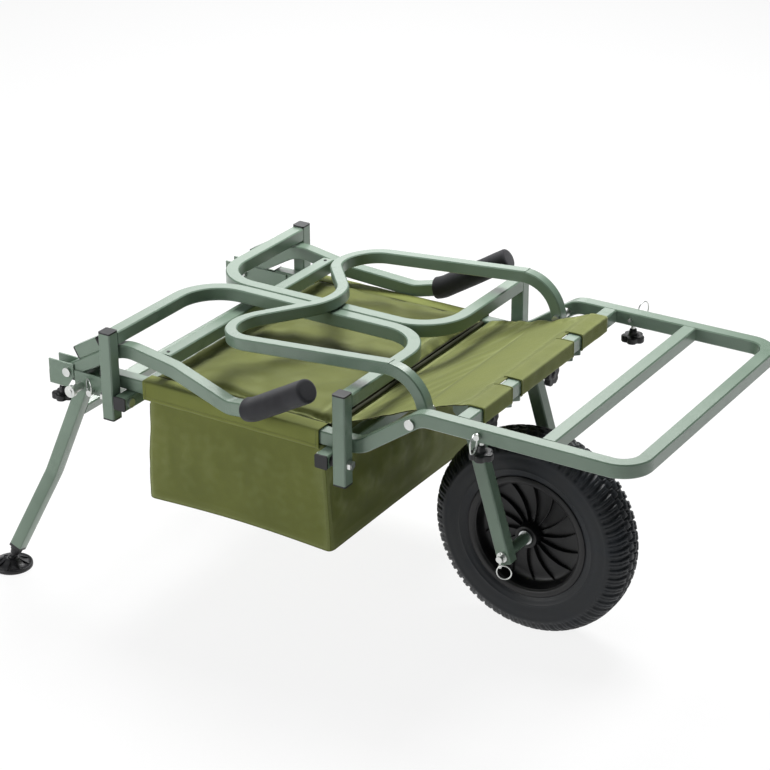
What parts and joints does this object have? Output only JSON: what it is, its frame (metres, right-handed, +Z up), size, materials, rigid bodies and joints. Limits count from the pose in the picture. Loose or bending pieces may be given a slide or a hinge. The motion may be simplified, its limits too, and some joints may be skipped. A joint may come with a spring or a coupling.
{
  "type": "fishing trolley",
  "caption": "Single-wheel fishing trolley with folding guards and handles, splayed rear legs on mud feet, a sliding front extension and a canvas bag under its bed.",
  "frame": {"origin": "on the ground, midway along the part's length and midway between its two sides", "axes": "+X from the rear legs to the front extension, +Y to the trolley's left side, +Z up"},
  "size_m": [1.2924, 0.736, 0.569],
  "materials": {
    "frame_paint": "satin",
    "black_plastic": "satin",
    "zinc_steel": "satin",
    "bearing_steel": "satin",
    "canvas": "matte",
    "grip_foam": "matte",
    "tyre_rubber": "matte",
    "wheel_plastic": "satin"
  },
  "bodies": {
    "frame": {"side_rails": "frame_paint", "cross_members": "frame_paint", "wheel_bar": "frame_paint", "frame_caps": "black_plastic", "rear_plates": "frame_paint", "hinge_cheeks": "frame_paint", "stop_blocks": "frame_paint", "fork_brackets": "frame_paint", "guard_bolts": "zinc_steel", "guard_spacers": "black_plastic", "front_guard_bolts": "zinc_steel", "front_guard_spacers": "zinc_steel", "handle_bolts": "zinc_steel", "leg_bolts": "zinc_steel", "bag": "canvas", "bag_lid": "canvas", "front_apron": "canvas"},
    "right_side_guard": {"right_guard": "frame_paint", "right_guard_caps": "black_plastic"},
    "left_side_guard": {"left_guard": "frame_paint", "left_guard_caps": "black_plastic"},
    "folding_front_guard": {"front_guard": "frame_paint", "front_guard_caps": "black_plastic"},
    "handle": {"handle_links": "frame_paint", "handle_frame": "frame_paint", "handle_crossbar": "frame_paint", "handle_screws": "black_plastic", "stop_caps": "black_plastic", "handle_caps": "black_plastic", "grips": "grip_foam"},
    "rear_legs": {"legs": "frame_paint", "leg_crossbar": "frame_paint", "leg_ends": "black_plastic"},
    "right_mud_foot": {"right_foot": "black_plastic"},
    "left_mud_foot": {"left_foot": "black_plastic"},
    "right_leg_lock": {"right_leg_pin": "zinc_steel"},
    "left_leg_lock": {"left_leg_pin": "zinc_steel"},
    "right_leg_clamp": {"right_leg_knob": "black_plastic"},
    "left_leg_clamp": {"left_leg_knob": "black_plastic"},
    "front_extension": {"extension": "frame_paint", "extension_bar": "frame_paint", "extension_spigots": "frame_paint"},
    "right_extension_lock": {"right_extension_pin": "zinc_steel"},
    "left_extension_lock": {"left_extension_pin": "zinc_steel"},
    "right_extension_clamp": {"right_extension_knob": "black_plastic"},
    "left_extension_clamp": {"left_extension_knob": "black_plastic"},
    "fork": {"fork_legs": "frame_paint", "axle_tubes": "frame_paint", "axle": "zinc_steel"},
    "right_axle_lock": {"right_axle_pin": "zinc_steel"},
    "left_axle_lock": {"left_axle_pin": "zinc_steel"},
    "right_fork_clamp": {"right_fork_knob": "black_plastic"},
    "left_fork_clamp": {"left_fork_knob": "black_plastic"},
    "wheel": {"tyre": "tyre_rubber", "wheel_disc": "wheel_plastic", "wheel_flanges": "wheel_plastic", "hub_ends": "wheel_plastic", "hub_bearings": "bearing_steel"}
  },
  "joints": [
    {"name": "front_guard_hinge", "type": "hinge", "parent": "frame", "child": "folding_front_guard", "pos_m": [0.23618, 0, 0.492], "axis": [0, 1, 0], "range_deg": [0, 90]},
    {"name": "right_guard_hinge", "type": "hinge", "parent": "frame", "child": "right_side_guard", "pos_m": [-0.12632, -0.3025, 0.3975], "axis": [1, 0, 0], "range_deg": [0, 90]},
    {"name": "left_guard_hinge", "type": "hinge", "parent": "frame", "child": "left_side_guard", "pos_m": [-0.12632, 0.3025, 0.3975], "axis": [-1, 0, 0], "range_deg": [0, 90]},
    {"name": "handle_hinge", "type": "hinge", "parent": "frame", "child": "handle", "pos_m": [-0.47882, 0, 0.415], "axis": [0, -1, 0], "range_deg": [0, 155]},
    {"name": "leg_hinge", "type": "hinge", "parent": "frame", "child": "rear_legs", "pos_m": [-0.44932, 0, 0.395], "axis": [0, -1, 0], "range_deg": [0, 55]},
    {"name": "right_foot_tilt", "type": "hinge", "parent": "rear_legs", "child": "right_mud_foot", "pos_m": [-0.60818, -0.33002, 0.017], "axis": [0, 1, 0], "range_deg": [-15, 15]},
    {"name": "left_foot_tilt", "type": "hinge", "parent": "rear_legs", "child": "left_mud_foot", "pos_m": [-0.60818, 0.33002, 0.017], "axis": [0, 1, 0], "range_deg": [-15, 15]},
    {"name": "right_leg_pin_pull", "type": "slide", "parent": "frame", "child": "right_leg_lock", "axis": [0, -1, 0], "range_m": [0, 0.03]},
    {"name": "left_leg_pin_pull", "type": "slide", "parent": "frame", "child": "left_leg_lock", "axis": [0, 1, 0], "range_m": [0, 0.03]},
    {"name": "right_leg_knob_turn", "type": "hinge", "parent": "frame", "child": "right_leg_clamp", "pos_m": [-0.50432, -0.2725, 0.36], "axis": [0, 0, 1], "continuous": true},
    {"name": "left_leg_knob_turn", "type": "hinge", "parent": "frame", "child": "left_leg_clamp", "pos_m": [-0.50432, 0.2725, 0.36], "axis": [0, 0, 1], "continuous": true},
    {"name": "extension_slide", "type": "slide", "parent": "frame", "child": "front_extension", "axis": [1, 0, 0], "range_m": [0, 0.045]},
    {"name": "right_extension_pin_pull", "type": "slide", "parent": "frame", "child": "right_extension_lock", "axis": [0, -1, 0], "range_m": [0, 0.03]},
    {"name": "left_extension_pin_pull", "type": "slide", "parent": "frame", "child": "left_extension_lock", "axis": [0, 1, 0], "range_m": [0, 0.03]},
    {"name": "right_extension_knob_turn", "type": "hinge", "parent": "frame", "child": "right_extension_clamp", "pos_m": [0.36318, -0.2725, 0.467], "axis": [0, 0, 1], "continuous": true},
    {"name": "left_extension_knob_turn", "type": "hinge", "parent": "frame", "child": "left_extension_clamp", "pos_m": [0.36318, 0.2725, 0.467], "axis": [0, 0, 1], "continuous": true},
    {"name": "fork_slide", "type": "slide", "parent": "frame", "child": "fork", "axis": [0.289, 0, -0.9573], "range_m": [0, 0.04]},
    {"name": "right_axle_pin_pull", "type": "slide", "parent": "fork", "child": "right_axle_lock", "axis": [0, 0, -1], "range_m": [0, 0.025]},
    {"name": "left_axle_pin_pull", "type": "slide", "parent": "fork", "child": "left_axle_lock", "axis": [0, 0, -1], "range_m": [0, 0.025]},
    {"name": "right_fork_knob_turn", "type": "hinge", "parent": "frame", "child": "right_fork_clamp", "pos_m": [0.28476, -0.1085, 0.4385], "axis": [1, 0, 0], "continuous": true},
    {"name": "left_fork_knob_turn", "type": "hinge", "parent": "frame", "child": "left_fork_clamp", "pos_m": [0.28476, 0.1085, 0.4385], "axis": [1, 0, 0], "continuous": true},
    {"name": "wheel_spin", "type": "hinge", "parent": "fork", "child": "wheel", "pos_m": [0.32218, 0, 0.192], "axis": [0, 1, 0], "continuous": true}
  ],
  "couplings": [
    {"joint": "right_guard_hinge", "follows": "front_guard_hinge", "ratio": 1},
    {"joint": "left_guard_hinge", "follows": "front_guard_hinge", "ratio": 1},
    {"joint": "handle_hinge", "follows": "front_guard_hinge", "ratio": 0.19}
  ]
}
